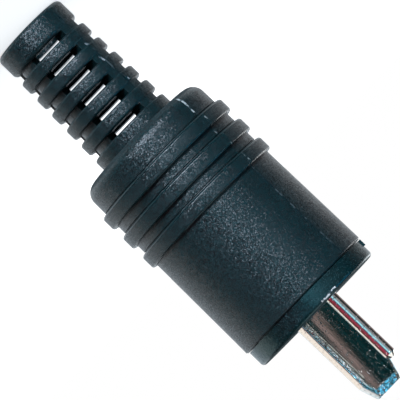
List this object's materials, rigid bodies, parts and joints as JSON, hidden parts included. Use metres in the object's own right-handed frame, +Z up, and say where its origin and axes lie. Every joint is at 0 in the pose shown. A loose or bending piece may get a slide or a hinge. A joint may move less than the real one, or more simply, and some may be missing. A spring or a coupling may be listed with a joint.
{
  "type": "two-pole loudspeaker plug",
  "caption": "Black moulded cable plug with a ringed grip hood, slotted bend relief, flat blade and round pin, for joining a loudspeaker lead to an amplifier.",
  "frame": {"origin": "centre of the mating face, on the plug's axis", "axes": "+Z up, out of the mating face along the contacts, with the plug standing on its cable end; the pin is on the front side, towards -Y; +X runs across the blade"},
  "size_m": [0.0164, 0.0164, 0.0497],
  "materials": {
    "hood_plastic": "fine grained mould texture",
    "carrier_plastic": "smooth, slightly glossy",
    "contact_plate": "bright nickel plate",
    "terminal_steel": "zinc plated"
  },
  "bodies": {
    "hood": {"hood": "hood_plastic"},
    "carrier": {"contact_carrier": "carrier_plastic", "blade_contact": "contact_plate", "pin_contact": "contact_plate", "wire_clamp_washer": "terminal_steel"},
    "blade_screw": {"blade_terminal_screw": "terminal_steel"},
    "pin_screw": {"pin_terminal_screw": "terminal_steel"}
  },
  "joints": [
    {"name": "carrier_slide", "type": "slide", "parent": "hood", "child": "carrier", "axis": [0, 0, 1], "range_m": [0, 0.015]},
    {"name": "blade_screw_turn", "type": "hinge", "parent": "carrier", "child": "blade_screw", "pos_m": [0, 0, -0.0149], "axis": [0, -1, 0], "range_deg": [0, 720]},
    {"name": "pin_screw_turn", "type": "hinge", "parent": "carrier", "child": "pin_screw", "pos_m": [0, -0.0043, -0.00955], "axis": [0, -1, 0], "range_deg": [0, 720]}
  ]
}
